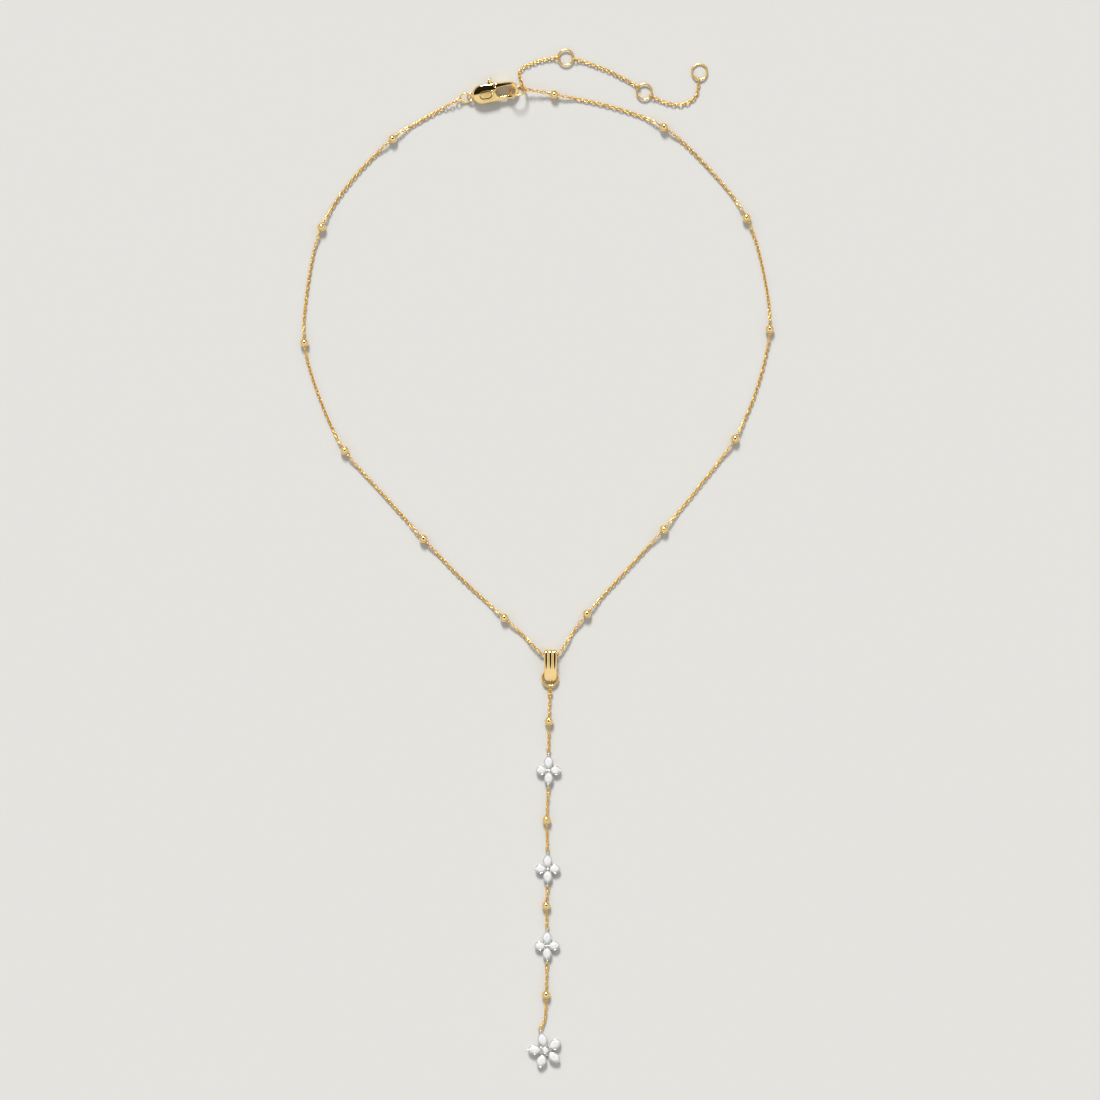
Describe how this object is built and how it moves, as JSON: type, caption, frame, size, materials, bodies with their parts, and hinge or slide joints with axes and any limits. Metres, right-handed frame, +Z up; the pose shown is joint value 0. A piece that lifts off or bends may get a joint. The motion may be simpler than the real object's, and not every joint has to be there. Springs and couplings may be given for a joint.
{
  "type": "lariat necklace",
  "caption": "Long lariat necklace laid flat: fine beaded cable chain with a lobster clasp and ring extender, and a ribbed bail carrying a drop of beads and stone flowers.",
  "frame": {"origin": "middle of the necklace's outline on the surface it lies on", "axes": "+X across the loop to the wearer's left as seen from above, +Y up the layout towards the clasp, +Z up from the surface"},
  "size_m": [0.1232, 0.2648, 0.004],
  "materials": {
    "gold": "polished yellow gold plate",
    "gold_chain": "polished yellow gold plate, fine links",
    "white_metal": "polished white metal",
    "stone": "clear faceted stone"
  },
  "bodies": {
    "necklace": {"neck_chain": "gold_chain", "extender_chain": "gold_chain", "drop_chain": "gold_chain", "neck_bead_1": "gold", "neck_bead_2": "gold", "neck_bead_3": "gold", "neck_bead_4": "gold", "neck_bead_5": "gold", "neck_bead_6": "gold", "neck_bead_7": "gold", "neck_bead_8": "gold", "neck_bead_9": "gold", "neck_bead_10": "gold", "neck_bead_11": "gold", "neck_bead_12": "gold", "neck_bead_13": "gold", "drop_bead_1": "gold", "drop_bead_2": "gold", "drop_bead_3": "gold", "drop_bead_4": "gold", "clasp_body": "gold", "clasp_pin": "gold", "clasp_tail_ring": "gold", "connector_ring": "gold", "extender_ring_1": "gold", "extender_ring_2": "gold", "extender_ring_3": "gold", "bail": "gold", "bail_ring": "gold", "flower_setting_1": "white_metal", "flower_setting_2": "white_metal", "flower_setting_3": "white_metal", "flower_setting_4": "white_metal", "petal_stone_1_1": "stone", "petal_stone_1_2": "stone", "petal_stone_1_3": "stone", "petal_stone_1_4": "stone", "petal_stone_2_1": "stone", "petal_stone_2_2": "stone", "petal_stone_2_3": "stone", "petal_stone_2_4": "stone", "petal_stone_3_1": "stone", "petal_stone_3_2": "stone", "petal_stone_3_3": "stone", "petal_stone_3_4": "stone", "petal_stone_4_1": "stone", "petal_stone_4_2": "stone", "petal_stone_4_3": "stone", "petal_stone_4_4": "stone", "petal_stone_4_5": "stone", "centre_stone": "stone"},
    "clasp_lever": {"clasp_lever": "gold"}
  },
  "joints": [
    {"name": "lever_pivot", "type": "hinge", "parent": "necklace", "child": "clasp_lever", "pos_m": [-0.01151, 0.12107, 0.00145], "axis": [0, 0, 1], "range_deg": [0, 18], "stiffness_Nm_per_rad": 0.0002, "springref_deg": -20.05}
  ]
}
